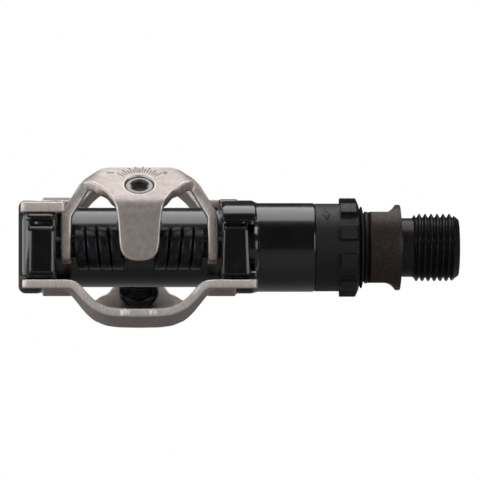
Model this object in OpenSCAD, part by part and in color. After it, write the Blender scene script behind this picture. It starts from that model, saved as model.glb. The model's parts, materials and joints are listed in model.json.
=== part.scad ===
// Double-sided clipless pedal for the left crank.
// X runs along the spindle towards the crank, Z is up, and the origin is on the spindle's axis
// at the flange face that seats on the crank. The pedal looks the same after half a turn about X.

/* [Spindle] */
// Major diameter of the crank thread, 9/16 inch
thread_d = 14.288; // [14.2:0.001:14.35]
// Tip of the thread, measured from the flange face
thread_end = 12.4; // [11.5:0.1:14]
// Length of the lead-in taper at the tip
lead_in = 1.4; // [0.8:0.1:2]
// Diameter of the relief neck behind the thread
neck_d = 12.45; // [11.5:0.05:13]
// Length of the relief neck
neck_len = 2.7; // [1.5:0.1:4]
// Flange diameter, which is also the wrench section's round sides
flange_d = 18.1; // [17.5:0.1:19]
// Distance across the wrench flats
wrench_af = 15; // [14.5:0.1:15.5]
// Outboard end of the wrench section
wrench_end = -6.6; // [-6.9:0.1:-6]
// Radius of the shaft between the two bearings
shaft_r = 4.4; // [3.8:0.1:4.6]
// Radius of the threaded stud that carries the cone nut
stud_r = 3; // [2.5:0.1:3.2]

/* [Bearings] */
// Ball diameter, 3/32 inch
ball_d = 2.381; // [2.2:0.001:2.4]
// Balls in each row
ball_count = 12; // [9:1:12]
// Place of the inboard row along the spindle
inboard_x = -21.5; // [-22:0.1:-21]
// Pitch radius of the inboard row
inboard_pitch_r = 5.4; // [5.3:0.05:5.45]
// Place of the outboard row along the spindle
outboard_x = -66; // [-66.5:0.1:-65]
// Pitch radius of the outboard row
outboard_pitch_r = 4.75; // [4.7:0.05:4.8]
// Gap between a ball and its races
ball_gap = 0.06; // [0.03:0.01:0.1]

/* [Lock sleeve] */
// Radius of the plain collar
sleeve_r = 9.3; // [9.1:0.1:9.4]
// Outer radius of the toothed ring
spline_r = 10.45; // [10:0.05:10.8]
// Teeth on the ring
spline_teeth = 10; // [8:1:12]
// Crank-side end of the sleeve
sleeve_end = -9; // [-9.2:0.1:-8.9]

/* [Body] */
// Radius of the barrel between the walls and the sleeve
barrel_r = 9.4; // [9.2:0.1:9.7]
// Radius of the barrel between the two walls
mid_barrel_r = 8.4; // [8.2:0.1:8.5]
// End of the barrel where the lock sleeve seats
barrel_end = -18.2; // [-19:0.1:-18]
// Centre of the binding along the spindle
bind_x = -55.2; // [-56:0.1:-54]
// Gap between the two walls
wall_gap = 34.2; // [34:0.1:35]
// Height of the ledges that carry the front claws
ledge_z = 6.9; // [6.7:0.1:7.2]
// Distance from the axis to the end of a wall, along Y
wall_y = 30; // [29:0.5:31]
// How far the outer wall bulges in plan
wall_bulge = 1.5; // [0.5:0.1:2]

/* [Front claws] */
// Plate thickness
plate_t = 1.75; // [1.5:0.05:2]
// Distance from the axis to a front claw's front edge
front_y = 33.5; // [33:0.5:35]
// Distance from the axis to a front claw's hook
hook_y = 22; // [21:0.5:23]
// Slope of the front claw up to its hook
hook_tilt = 11.8; // [8:0.1:13]

/* [Rear claws] */
// Sheet thickness
claw_t = 2.2; // [2:0.05:2.4]
// Half the width over the arms
arm_x = 16.2; // [15.9:0.05:16.4]
// Distance from the axis to a pivot pin, along Y
pivot_y = 23.5; // [23.4:0.1:24]
// Height of a pivot pin, seen from its own claw's side
pivot_z = -0.3; // [-0.4:0.1:0]
// Pivot pin radius
pin_r = 2.3; // [2:0.05:2.35]
// Slope of the roof below horizontal
roof_slope = 38.3; // [36:0.1:40]

/* [Springs and tension screw] */
// Outside radius of a spring
coil_r = 4.5; // [4.3:0.1:4.6]
// Width of the square spring wire
wire = 2.1; // [1.8:0.1:2.2]
// Radius of the tension bolt's thread, M5
bolt_r = 2.5; // [2.4:0.05:2.55]
// Radius of the tension bolt's head
bolt_head_r = 2.9; // [2.8:0.05:3]

/* [Hidden] */
$fn = 96;

fit_gap = 0.03;
running_gap = 0.06;
eps = 0.1;

thread_r = thread_d / 2;
flange_r = flange_d / 2;
ball_r = ball_d / 2;

// Radii along the spindle and round it
seal_seat_r = 6.2;
journal_r = 5.9;
race_r = 5.2;
journal_end = -19;
race_end = inboard_x - 2.2;
shaft_end = -62;
stud_end = -74.6;
tube_r = 7.15;
tube_bore_r = 5.4;
tube_in = -19.8;
tube_out = -67.4;
body_bore_r = tube_r + fit_gap;
body_bore_end = -75.6;
shank_r = 8.15;
shank_end = -28;
spline_x = -12.85;
seal_x = sleeve_end + 0.3;

// Walls of the body
wall_in = wall_gap / 2;
outer_wall_x = bind_x - wall_in;
inner_wall_x = bind_x + wall_in;
wall_left = -79.1;
wall_right = -31.1;
web_right = -33.4;
boss_end = -30.5;
crown_z = 8.55;
lip_z = 9.75;
crown_flat = 11;
crown_foot = 14.5;
crown_end = crown_foot + 0.1;
lip_left = -75.4;
lip_right = -35;
bulge_r = (pow(wall_y, 2) + pow(wall_bulge, 2)) / (2 * wall_bulge);

// Rear claw, with the binding's centre line at 0
roof_top = 16.5;
bend_z = 9;
tongue_y = -30.8;
lip_y = tongue_y + (roof_top - bend_z) / tan(roof_slope);
claw_half = [[arm_x, -6], [arm_x, 6.5], [11.85, 13.5], [7.4, roof_top]];
bolt_z = 12.7;
bolt_y = tongue_y + (bolt_z - bend_z) / tan(roof_slope);
eye_r = 3.3;

// Front claw's arch, inside line, with the binding's centre line at 0
arch_half = [[12.3, ledge_z], [10.4, 9.4], [8.3, 11.2], [6, 12.35], [2.9, 12.75]];
arch_foot = 12.9;

// Inner edge of the front claws' rails, from the binding's centre line, and the notch in the
// outer rail that a rear claw's arm swings in
rail_in = 14.2;
toe_in = 15.2;
notch = [-27.4, -16];

// Screws that hold the front claws to the ledges, as X and Y
screw_at = [[-75.7, 27], [-34.4, 27], [-75.7, -20]];
screw_r = 2;
screw_head_r = 3.3;
screw_head_h = 1.6;
screw_len = 5.4;

// The spring's ends, measured from the binding's centre line
coil_in = 3.4;
coil_out = 13.3;
lift_leg = 7;

function unit(v) = v / norm(v);
function side(a, b) = let (d = unit(b - a)) [-d[1], d[0]];
function corner(n, m) = (n + m) / (1 + n * m);

// Point i of an open line moved sideways by t, with mitred corners
function shifted(line, i, t) =
    let (last = len(line) - 1)
    let (before = i > 0 ? side(line[i - 1], line[i]) : side(line[0], line[1]))
    let (after = i < last ? side(line[i], line[i + 1]) : before)
    line[i] + t * corner(before, after);

// Closed outline of a strip of thickness t along an open line
function strip(line, t) = concat(line, [for (i = [len(line) - 1:-1:0]) shifted(line, i, t)]);

// An open line over the top, from its right half
function over(half) = concat(
    [for (p = half) [-p[0], p[1]]],
    [for (i = [len(half) - 1:-1:0]) half[i]]
);

// Cylinder along X
module x_rod(r, x0, x1) {
    translate([x0, 0, 0])
        rotate([0, 90, 0])
            cylinder(r = r, h = x1 - x0);
}

// Solid turned about X from points given as [x, radius]
module x_turn(points) {
    rotate([0, 90, 0])
        rotate_extrude()
            polygon([for (p = points) [p[1], p[0]]]);
}

// Outline in Y and Z, extruded along X
module yz_plate(x0, x1) {
    translate([x0, 0, 0])
        rotate([90, 0, 90])
            linear_extrude(x1 - x0)
                children();
}

// Outline in X and Z, extruded along Y
module xz_plate(y0, y1) {
    translate([0, y1, 0])
        rotate([90, 0, 0])
            linear_extrude(y1 - y0)
                children();
}

// Box from its lowest to its highest corner
module block(low, high) {
    translate(low)
        cube(high - low);
}

// The same parts on the other side of the pedal
module half_turn() {
    rotate([180, 0, 0])
        children();
}

module both_sides() {
    children();
    half_turn()
        children();
}

// Ring that a ball sweeps as it runs round the spindle
module ball_track(x, pitch_r) {
    translate([x, 0, 0])
        rotate([0, 90, 0])
            rotate_extrude()
                translate([pitch_r, 0])
                    circle(r = ball_r + ball_gap);
}

module ball_row(x, pitch_r) {
    for (i = [0:ball_count - 1])
        rotate([i * 360 / ball_count, 0, 0])
            translate([x, 0, pitch_r])
                sphere(r = ball_r);
}

// ---- Spindle and bearings ----

// Material cut away above one wrench flat, ending in a concave run-out at the flange
module wrench_cut() {
    flat_end = -3.1;
    run_out_r = 2.2;
    flat_z = wrench_af / 2;
    block([wrench_end - 1, -flange_d, flat_z], [flat_end, flange_d, flange_d]);
    translate([flat_end, 0, flat_z + run_out_r])
        rotate([90, 0, 0])
            cylinder(r = run_out_r, h = 2 * flange_d, center = true);
}

module spindle() {
    color([0.16, 0.12, 0.11])
        difference() {
            x_turn([
                [thread_end, 0], [thread_end, thread_r - 1.25], [thread_end - lead_in, thread_r],
                [neck_len, thread_r], [neck_len, neck_d / 2], [0, neck_d / 2],
                [0, flange_r], [wrench_end + 0.3, flange_r], [wrench_end, flange_r - 0.5],
                [wrench_end, seal_seat_r], [seal_x - 1.2, seal_seat_r], [seal_x - 1.2, journal_r],
                [journal_end, journal_r], [journal_end, race_r], [race_end, race_r],
                [race_end, shaft_r], [shaft_end, shaft_r], [shaft_end, stud_r],
                [stud_end, stud_r], [stud_end, 0]
            ]);
            both_sides()
                wrench_cut();
            ball_track(inboard_x, inboard_pitch_r);
        }
}

module dust_seal() {
    color([0.05, 0.05, 0.05])
        x_turn([
            [seal_x, seal_seat_r + fit_gap], [seal_x, 7.7], [seal_x + 0.3, 8.65], [seal_x + 0.6, 8.65],
            [seal_x + 0.95, 7.2], [seal_x + 1.2, 7.65], [seal_x + 1.55, 7.65],
            [wrench_end - 0.02, 7.4], [wrench_end - 0.02, seal_seat_r + fit_gap]
        ]);
}

module lock_sleeve() {
    tooth = 180 / spline_teeth;
    reach = 2 * spline_r;
    color([0.13, 0.13, 0.14])
        difference() {
            union() {
                x_rod(shank_r, shank_end, barrel_end);
                x_rod(sleeve_r, barrel_end, spline_x);
                x_turn([
                    [spline_x, 0], [spline_x, sleeve_r], [sleeve_end + 0.2, sleeve_r],
                    [sleeve_end, 8.8], [sleeve_end, 0]
                ]);
                intersection() {
                    x_turn([
                        [spline_x, 0], [spline_x, spline_r], [sleeve_end - 0.7, spline_r],
                        [sleeve_end, 8.8], [sleeve_end, 0]
                    ]);
                    for (i = [0:spline_teeth - 1])
                        rotate([i * 360 / spline_teeth, 0, 0])
                            yz_plate(spline_x, sleeve_end)
                                polygon([
                                    [0, 0], [-reach * tan(tooth / 2), reach], [reach * tan(tooth / 2), reach]
                                ]);
                }
            }
            x_rod(tube_r + fit_gap, shank_end - 1, tube_in + 0.2);
            x_rod(6.6, tube_in - 1, sleeve_end + 1);
        }
}

module bearing_tube() {
    color([0.55, 0.56, 0.58])
        difference() {
            x_rod(tube_r, tube_out, tube_in);
            x_rod(tube_bore_r, tube_out - 1, tube_in + 1);
            ball_track(inboard_x, inboard_pitch_r);
            ball_track(outboard_x, outboard_pitch_r);
            x_rod(inboard_pitch_r + ball_r + ball_gap, inboard_x, tube_in + 1);
            x_rod(outboard_pitch_r + ball_r + ball_gap, tube_out - 1, outboard_x);
        }
}

module inboard_balls() {
    color([0.78, 0.78, 0.8])
        ball_row(inboard_x, inboard_pitch_r);
}

module outboard_balls() {
    color([0.78, 0.78, 0.8])
        ball_row(outboard_x, outboard_pitch_r);
}

module cone_nut() {
    nose_x = outboard_x - 0.4;
    color([0.5, 0.51, 0.53])
        difference() {
            x_turn([
                [nose_x - 4, 0], [nose_x - 4, race_r], [nose_x, race_r], [nose_x, 3.9],
                [nose_x + 1.5, 3.9], [nose_x + 1.5, 0]
            ]);
            x_rod(stud_r + fit_gap, nose_x - 5, nose_x + 2);
            ball_track(outboard_x, outboard_pitch_r);
        }
}

module lock_nut() {
    near = outboard_x - 4.5;
    across_flats = 9;
    color([0.5, 0.51, 0.53])
        difference() {
            translate([near - 3, 0, 0])
                rotate([0, 90, 0])
                    cylinder(r = across_flats / 2 / cos(30), h = 3, $fn = 6);
            x_rod(stud_r + fit_gap, near - 4, near + 1);
        }
}

// ---- Body ----

// Half of a wall's side outline, raised to crown_h over the bore
function wall_side(end_z, crown_h) = [
    [-wall_y, end_z], [-crown_foot, end_z], [-crown_flat, crown_h],
    [crown_flat, crown_h], [crown_foot, end_z], [wall_y, end_z]
];

module wall_outline(end_z, crown_h) {
    top = wall_side(end_z, crown_h);
    polygon(concat(top, [for (i = [len(top) - 1:-1:0]) [top[i][0], -top[i][1]]]));
}

// Everything of the outer wall lies inside this bulged outline
module bulge() {
    translate([wall_left - wall_bulge + bulge_r, 0, -20])
        cylinder(r = bulge_r, h = 40, $fn = 360);
}

module outer_wall() {
    intersection() {
        union() {
            yz_plate(wall_left - wall_bulge, outer_wall_x)
                wall_outline(ledge_z, crown_z);
            yz_plate(wall_left - wall_bulge, lip_left)
                wall_outline(ledge_z, lip_z);
        }
        bulge();
    }
}

module inner_wall() {
    yz_plate(inner_wall_x, web_right)
        wall_outline(ledge_z, crown_z);
    yz_plate(lip_right, wall_right)
        intersection() {
            wall_outline(ledge_z, lip_z);
            square([2 * crown_foot, 2 * lip_z], center = true);
        }
    both_sides() {
        for (s = [-1, 1])
            block([web_right - eps, min(s * crown_foot, s * wall_y), 5.2],
                [wall_right, max(s * crown_foot, s * wall_y), ledge_z]);
        // Slope where a front claw has no rail
        yz_plate(inner_wall_x, wall_right)
            polygon([[-wall_y, 5.2], [-wall_y, 7.3], [-crown_flat, 9.6], [-crown_flat + 1, 5.2]]);
        // Boss round the pivot pin's end
        translate([0, -pivot_y, pivot_z])
            x_rod(4.85, inner_wall_x, boss_end);
    }
}

// Flat pads on the end of each wall
module end_pads() {
    block([-77.5, -wall_y - 1, -5.5], [outer_wall_x - 0.3, -wall_y + eps, 4.6]);
    block([inner_wall_x + 0.2, -wall_y - 1, -5.8], [web_right, -wall_y + eps, 5]);
}

module screw_holes() {
    for (p = screw_at)
        translate([p[0], p[1], ledge_z + plate_t - screw_len - 0.3])
            cylinder(r = screw_r + fit_gap, h = screw_len);
}

module pedal_body() {
    color([0.05, 0.05, 0.055])
        difference() {
            union() {
                x_rod(mid_barrel_r, outer_wall_x - 1, inner_wall_x + 1);
                x_rod(barrel_r, wall_right - eps, barrel_end);
                outer_wall();
                inner_wall();
                both_sides()
                    end_pads();
            }
            x_rod(body_bore_r, body_bore_end, barrel_end + 1);
            x_rod(shank_r + fit_gap, shank_end - 1, barrel_end + 1);
            both_sides() {
                screw_holes();
                translate([0, -pivot_y, pivot_z])
                    x_rod(pin_r + fit_gap, -78.2, wall_right + 5);
            }
        }
}

// ---- Front claws ----

module rail_outlines() {
    polygon([
        [wall_left, -wall_y], [bind_x - toe_in, -wall_y], [bind_x - toe_in, notch[0]],
        [outer_wall_x, notch[0]], [outer_wall_x, notch[1]], [bind_x - rail_in, notch[1]],
        [bind_x - rail_in, hook_y - 1], [bind_x - arch_foot, hook_y - 1],
        [bind_x - arch_foot, front_y],
        [wall_left + 2, front_y], [wall_left, front_y - 2], [wall_left, crown_end + 1],
        [lip_left, crown_end], [lip_left, -crown_end], [wall_left, -crown_end - 1]
    ]);
    polygon([
        [bind_x + rail_in, -crown_flat + 1.3], [lip_right, -crown_flat + 1.3],
        [lip_right, crown_end],
        [wall_right, crown_end + 1], [wall_right, front_y - 2], [wall_right - 2, front_y],
        [bind_x + arch_foot, front_y], [bind_x + arch_foot, hook_y - 1],
        [bind_x + rail_in, hook_y - 1]
    ]);
}

module front_claw() {
    ledge = [
        [-wall_y, ledge_z], [-crown_foot, ledge_z], [-crown_flat, crown_z],
        [crown_flat, crown_z], [crown_foot, ledge_z], [front_y, ledge_z]
    ];
    difference() {
        union() {
            intersection() {
                yz_plate(wall_left, wall_right)
                    polygon(strip(ledge, plate_t));
                linear_extrude(roof_top)
                    rail_outlines();
            }
            translate([bind_x, front_y, 0])
                rotate([-hook_tilt, 0, 0])
                    xz_plate((hook_y - front_y) / cos(hook_tilt), 0)
                        polygon(strip(over(arch_half), plate_t));
        }
        // Front edge trimmed upright
        block([wall_left, front_y, 0], [wall_right, front_y + 5, 20]);
        for (p = screw_at) {
            translate([p[0], p[1], 0])
                cylinder(r = screw_r + fit_gap, h = 20);
            translate([p[0], p[1], ledge_z + plate_t - screw_head_h])
                cylinder(r1 = screw_r + fit_gap, r2 = screw_head_r + fit_gap, h = screw_head_h);
        }
    }
}

module top_front_claw() {
    color([0.62, 0.59, 0.57])
        front_claw();
}

module bottom_front_claw() {
    color([0.62, 0.59, 0.57])
        half_turn()
            front_claw();
}

module claw_screws() {
    for (p = screw_at)
        translate([p[0], p[1], ledge_z + plate_t])
            difference() {
                union() {
                    translate([0, 0, -screw_len])
                        cylinder(r = screw_r, h = screw_len);
                    translate([0, 0, -screw_head_h])
                        cylinder(r1 = screw_r, r2 = screw_head_r, h = screw_head_h);
                }
                translate([0, 0, -1.5])
                    cylinder(r = 1.25 / cos(30), h = 3, $fn = 6);
            }
}

module top_claw_screws() {
    color([0.12, 0.12, 0.12])
        claw_screws();
}

module bottom_claw_screws() {
    color([0.12, 0.12, 0.12])
        half_turn()
            claw_screws();
}

// ---- Rear claws ----

module pivot_pin() {
    translate([0, -pivot_y, pivot_z])
        x_rod(pin_r, -78.1, boss_end - 0.4);
}

module rear_pivot_pin() {
    color([0.3, 0.3, 0.31])
        pivot_pin();
}

module front_pivot_pin() {
    color([0.3, 0.3, 0.31])
        half_turn()
            pivot_pin();
}

// Places children on a bolt's axis, at the roof's outer face, with +Z pointing out of the roof
module on_bolt_axis() {
    translate([bind_x, bolt_y, bolt_z])
        rotate([roof_slope, 0, 0])
            children();
}

// Side outline of the claw's arms
module arm_side() {
    polygon([
        [-pivot_y - eye_r, pivot_z], [-26.2, 4], [-23, 12], [lip_y - 1.3, roof_top + 1],
        [lip_y + 0.3, roof_top + 1], [-18, 13], [-17.6, 8], [-pivot_y + eye_r, pivot_z]
    ]);
    translate([-pivot_y, pivot_z])
        circle(r = eye_r);
}

// Front outline of the roof and its tongue
module tongue_outline() {
    polygon([
        [-7.4, roof_top + 1], [-8, 13], [-7, 11.5], [-5.6, 9.8], [-4.9, bend_z], [-4, 1.5], [-4, 1.15],
        [4, 1.15], [4, 1.5], [4.9, bend_z], [5.6, 9.8], [7, 11.5], [8, 13], [7.4, roof_top + 1]
    ]);
    translate([0, 1.15])
        circle(r = 4);
}

module rear_claw() {
    roof_line = [[lip_y, roof_top], [tongue_y, bend_z], [tongue_y, -4]];
    difference() {
        union() {
            intersection() {
                translate([bind_x, 0, 0])
                    xz_plate(-32, -12)
                        polygon(strip(over(claw_half), -claw_t));
                yz_plate(bind_x - arm_x - 1, bind_x + arm_x + 1)
                    arm_side();
            }
            intersection() {
                yz_plate(bind_x - 9, bind_x + 9)
                    polygon(strip(roof_line, claw_t));
                translate([bind_x, 0, 0])
                    xz_plate(-32, -12)
                        tongue_outline();
            }
        }
        translate([0, -pivot_y, pivot_z])
            x_rod(pin_r + running_gap, bind_x - 20, bind_x + 20);
        on_bolt_axis()
            translate([0, 0, -5])
                cylinder(r = bolt_head_r + running_gap, h = 10);
    }
}

module top_rear_claw() {
    color([0.6, 0.57, 0.55])
        rear_claw();
}

module bottom_rear_claw() {
    color([0.6, 0.57, 0.55])
        half_turn()
            rear_claw();
}

// ---- Springs ----

// Torsion spring as a sleeve with its two legs; s is -1 outboard and 1 inboard
module spring(s) {
    mean_r = coil_r - wire / 2;
    leg = wire - 0.2;
    inner_leg = s > 0 ? coil_in + eps : -coil_in - eps - leg;
    outer_leg = s > 0 ? coil_out - eps - leg : -coil_out + eps;
    near = min(s * coil_in, s * coil_out);
    translate([bind_x, -pivot_y, pivot_z]) {
        difference() {
            x_rod(coil_r, near, near + coil_out - coil_in);
            x_rod(coil_r - wire, near - 1, near + coil_out - coil_in + 1);
        }
        // Leg that bears on the barrel
        block([outer_leg, 0, mean_r - leg / 2],
            [outer_leg + leg, pivot_y - mid_barrel_r - 0.1, mean_r + leg / 2]);
        // Leg that lifts the tension nut
        rotate([27.2, 0, 0])
            block([inner_leg, mean_r - leg / 2, 0], [inner_leg + leg, mean_r + leg / 2, lift_leg]);
    }
}

module top_outer_spring() {
    color([0.09, 0.09, 0.12])
        spring(-1);
}

module top_inner_spring() {
    color([0.09, 0.09, 0.12])
        spring(1);
}

module bottom_outer_spring() {
    color([0.09, 0.09, 0.12])
        half_turn()
            spring(-1);
}

module bottom_inner_spring() {
    color([0.09, 0.09, 0.12])
        half_turn()
            spring(1);
}

// ---- Tension screws ----

module tension_bolt() {
    head_drop = 0.25;
    collar_h = 0.7;
    on_bolt_axis()
        difference() {
            union() {
                translate([0, 0, -claw_t - 0.1])
                    cylinder(r = bolt_head_r, h = claw_t + 0.1 - head_drop);
                translate([0, 0, -claw_t - 0.1 - collar_h])
                    cylinder(r = bolt_head_r + 0.4, h = collar_h);
                translate([0, 0, -13])
                    cylinder(r = bolt_r, h = 13 - claw_t);
            }
            translate([0, 0, -2])
                cylinder(r = 1.5 / cos(30), h = 3, $fn = 6);
        }
}

module tension_nut() {
    top = -claw_t - 1.1;
    on_bolt_axis()
        difference() {
            union() {
                translate([0, 0, top - 1.5])
                    cylinder(r = 4.2, h = 1.5);
                translate([0, 0, top - 4])
                    cylinder(r = 3, h = 3);
            }
            translate([0, 0, top - 5])
                cylinder(r = bolt_r + running_gap, h = 6);
        }
}

module top_tension_bolt() {
    color([0.55, 0.55, 0.56])
        tension_bolt();
}

module bottom_tension_bolt() {
    color([0.55, 0.55, 0.56])
        half_turn()
            tension_bolt();
}

module top_tension_nut() {
    color([0.08, 0.08, 0.08])
        tension_nut();
}

module bottom_tension_nut() {
    color([0.08, 0.08, 0.08])
        half_turn()
            tension_nut();
}

pedal_body();
top_front_claw();
bottom_front_claw();
top_claw_screws();
bottom_claw_screws();
rear_pivot_pin();
front_pivot_pin();
top_rear_claw();
bottom_rear_claw();
top_outer_spring();
top_inner_spring();
bottom_outer_spring();
bottom_inner_spring();
top_tension_bolt();
bottom_tension_bolt();
top_tension_nut();
bottom_tension_nut();
spindle();
dust_seal();
lock_sleeve();
bearing_tube();
inboard_balls();
outboard_balls();
cone_nut();
lock_nut();
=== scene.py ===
"""Visual model of a double-sided clipless pedal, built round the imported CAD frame.

Helpers work in millimetres in the CAD frame: X along the spindle towards the crank, Z up.
Meshes are written in metres. Both sides of the pedal are alike after half a turn about X.
The outer end is the one away from the crank, and the near end is the one at -Y.
"""
import json
import math

import bpy
import numpy as np
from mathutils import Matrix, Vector
from mathutils.geometry import delaunay_2d_cdt


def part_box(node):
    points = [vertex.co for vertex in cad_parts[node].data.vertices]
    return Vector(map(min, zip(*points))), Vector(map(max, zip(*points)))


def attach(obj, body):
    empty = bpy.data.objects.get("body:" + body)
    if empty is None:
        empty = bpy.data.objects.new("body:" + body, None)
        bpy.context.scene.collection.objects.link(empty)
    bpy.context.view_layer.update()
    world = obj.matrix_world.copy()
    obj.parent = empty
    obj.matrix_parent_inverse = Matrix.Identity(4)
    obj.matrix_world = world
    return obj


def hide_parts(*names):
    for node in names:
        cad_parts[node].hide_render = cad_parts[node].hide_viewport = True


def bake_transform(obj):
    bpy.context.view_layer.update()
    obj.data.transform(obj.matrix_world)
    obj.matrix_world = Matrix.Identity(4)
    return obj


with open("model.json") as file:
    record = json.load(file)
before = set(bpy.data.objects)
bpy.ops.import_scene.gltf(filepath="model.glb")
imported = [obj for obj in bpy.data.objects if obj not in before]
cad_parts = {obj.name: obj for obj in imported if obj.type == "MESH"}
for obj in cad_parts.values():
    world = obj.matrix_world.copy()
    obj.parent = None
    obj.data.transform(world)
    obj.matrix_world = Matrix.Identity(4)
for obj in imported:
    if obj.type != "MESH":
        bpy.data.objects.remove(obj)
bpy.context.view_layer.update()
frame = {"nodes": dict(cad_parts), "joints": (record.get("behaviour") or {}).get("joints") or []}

MM = 0.001
TAU = 2 * math.pi
CORNER_STEPS = 8
CORNER_SHARE = 0.48
MITRE_LIMIT = 0.6


def box_mm(node):
    low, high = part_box(node)
    return low / MM, high / MM


def joint_mm(name):
    row = next(j for j in frame["joints"] if j["name"] == name)
    return Vector(row["pos_m"]) / MM, Vector(row["axis"]).normalized()


# ---------------------------------------------------------------- main sizes

CLAW_LOW, CLAW_HIGH = box_mm("top_rear_claw")
PLATE_LOW, PLATE_HIGH = box_mm("top_front_claw")
BODY_LOW, BODY_HIGH = box_mm("pedal_body")
SLEEVE_LOW, SLEEVE_HIGH = box_mm("lock_sleeve")
SEAL_LOW, SEAL_HIGH = box_mm("dust_seal")
SPINDLE_END = box_mm("spindle")[1].x
PIN_END = box_mm("rear_pivot_pin")[1].x
PIVOT = joint_mm("top_claw_open")[0]
BOLT, BOLT_AXIS = joint_mm("top_bolt_turn")

BIND_X = (CLAW_LOW.x + CLAW_HIGH.x) / 2
ARM_X = (CLAW_HIGH.x - CLAW_LOW.x) / 2
ROOF_TOP = CLAW_HIGH.z
SLOPE = math.atan2(-BOLT_AXIS.y, BOLT_AXIS.z)
CLAW_T = 2.2
BEND_V = (ROOF_TOP - 9.0) / math.sin(SLOPE)
BOLT_V = (ROOF_TOP - BOLT.z) / math.sin(SLOPE)
LIP_Y = BOLT.y + BOLT_V * math.cos(SLOPE)

WALL_LEFT = PLATE_LOW.x
WALL_RIGHT = PLATE_HIGH.x
FRONT_Y = PLATE_HIGH.y
RAIL_Y = -PLATE_LOW.y
PLATE_T = 1.75
LEDGE_Z = PLATE_LOW.z
CROWN_RISE = 1.65
CROWN_FLAT = 11.0
CROWN_FOOT = 14.5
CROWN_END = 14.6
WALL_HALF_GAP = 17.1
OUTER_WALL_X = BIND_X - WALL_HALF_GAP
INNER_WALL_X = BIND_X + WALL_HALF_GAP
LIP_LEFT = -75.4
LIP_RIGHT = -35.0
WEB_RIGHT = -33.4
BARREL_END = BODY_HIGH.x
BARREL_R = 9.4
MID_BARREL_R = 8.4
COIL_R = 4.5
WIRE = 2.1


# ---------------------------------------------------------------- mesh helpers

def soft(points, x, reach):
    """Piecewise-linear function through points, with its corners rounded over +-reach."""
    xs = [p[0] for p in points]
    ys = [p[1] for p in points]
    samples = [x + reach * k / 6 for k in range(-6, 7)]
    weights = [7 - abs(k) for k in range(-6, 7)]
    values = np.interp(samples, xs, ys)
    return float(np.dot(values, weights) / sum(weights))


def rounded(points, step=0.45, count=None):
    """Closed outline in even steps from corners given as (x, y, radius)."""
    n = len(points)
    line = []
    for i in range(n):
        p = Vector(points[i][:2])
        before = Vector(points[i - 1][:2]) - p
        after = Vector(points[(i + 1) % n][:2]) - p
        turn = math.pi - before.angle(after)
        cut = min(points[i][2] * math.tan(turn / 2), CORNER_SHARE * before.length,
                  CORNER_SHARE * after.length)
        start = p + before.normalized() * cut
        end = p + after.normalized() * cut
        for k in range(CORNER_STEPS + 1):
            t = k / CORNER_STEPS
            line.append((1 - t) ** 2 * start + 2 * t * (1 - t) * p + t * t * end)
    return even(line, step, count)


def even(line, step, count=None):
    """Closed line resampled to even steps of about step, or to a number of points."""
    pts = np.array([tuple(p) for p in line] + [tuple(line[0])])
    lengths = np.concatenate([[0], np.cumsum(np.linalg.norm(np.diff(pts, axis=0), axis=1))])
    count = count or max(8, round(lengths[-1] / step))
    at = np.linspace(0, lengths[-1], count, endpoint=False)
    return [Vector((np.interp(a, lengths, pts[:, 0]), np.interp(a, lengths, pts[:, 1]))) for a in at]


def circle(x, y, r, count=40):
    """Clockwise circle, for a hole."""
    return [Vector((x + r * math.cos(-TAU * k / count), y + r * math.sin(-TAU * k / count)))
            for k in range(count)]


def inset(loop, d):
    """Closed loop moved to its left by d."""
    n = len(loop)
    out = []
    for i in range(n):
        a = (loop[i] - loop[i - 1]).normalized()
        b = (loop[(i + 1) % n] - loop[i]).normalized()
        t = (a + b).normalized()
        mitre = 1 / max(MITRE_LIMIT, t.dot(a))
        out.append(loop[i] + Vector((-t.y, t.x)) * d * mitre)
    return out


def inside(points, loop):
    """Which of the points lie in the closed loop."""
    x, y = points[:, 0], points[:, 1]
    result = np.zeros(len(points), bool)
    for i in range(len(loop)):
        (x0, y0), (x1, y1) = loop[i - 1], loop[i]
        crosses = (y0 > y) != (y1 > y)
        with np.errstate(divide="ignore", invalid="ignore"):
            result ^= crosses & (x < (x1 - x0) * (y - y0) / (y1 - y0) + x0)
    return result


def between_loops(points, loops, margin):
    """Which points lie in the first loop and outside the others, by at least a margin."""
    keep = inside(points, inset(loops[0], margin))
    for loop in loops[1:]:
        keep &= ~inside(points, inset(loop, margin))
    return keep


def filled(loops, r, step):
    """Points, numbers and triangles that fill the space between loops, once they are set in by r.
    A point on a loop has its number along all the loops, and one between them has None."""
    points, edges = [], []
    for loop in loops:
        base = len(points)
        points += inset(loop, r)
        edges += [(base + i, base + (i + 1) % len(loop)) for i in range(len(loop))]
    on_loops = len(points)
    xs = [p.x for p in points[:len(loops[0])]]
    ys = [p.y for p in points[:len(loops[0])]]
    grid = np.array([(x, y) for x in np.arange(min(xs) + step / 2, max(xs), step)
                     for y in np.arange(min(ys) + step / 2, max(ys), step)]).reshape(-1, 2)
    points += [Vector(p) for p in grid[between_loops(grid, loops, r + 0.5 * step)]]
    points, _, triangles, origins, _, _ = delaunay_2d_cdt(points, edges, [], 0, 1e-6)
    centres = np.array([sum((points[i] for i in t), Vector((0, 0))) / 3 for t in triangles])
    kept = [t for t, keep in zip(triangles, between_loops(centres, loops, r)) if keep]
    numbers = [next((k for k in ids if k < on_loops), None) for ids in origins]
    return points, numbers, kept


def outward(verts, faces):
    """The shell with its faces turned outwards."""
    v = [Vector(p) for p in verts]
    volume = 0.0
    for f in faces:
        for k in range(1, len(f) - 1):
            volume += v[f[0]].dot(v[f[k]].cross(v[f[k + 1]]))
    return verts, (faces if volume > 0 else [tuple(reversed(f)) for f in faces])


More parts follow.
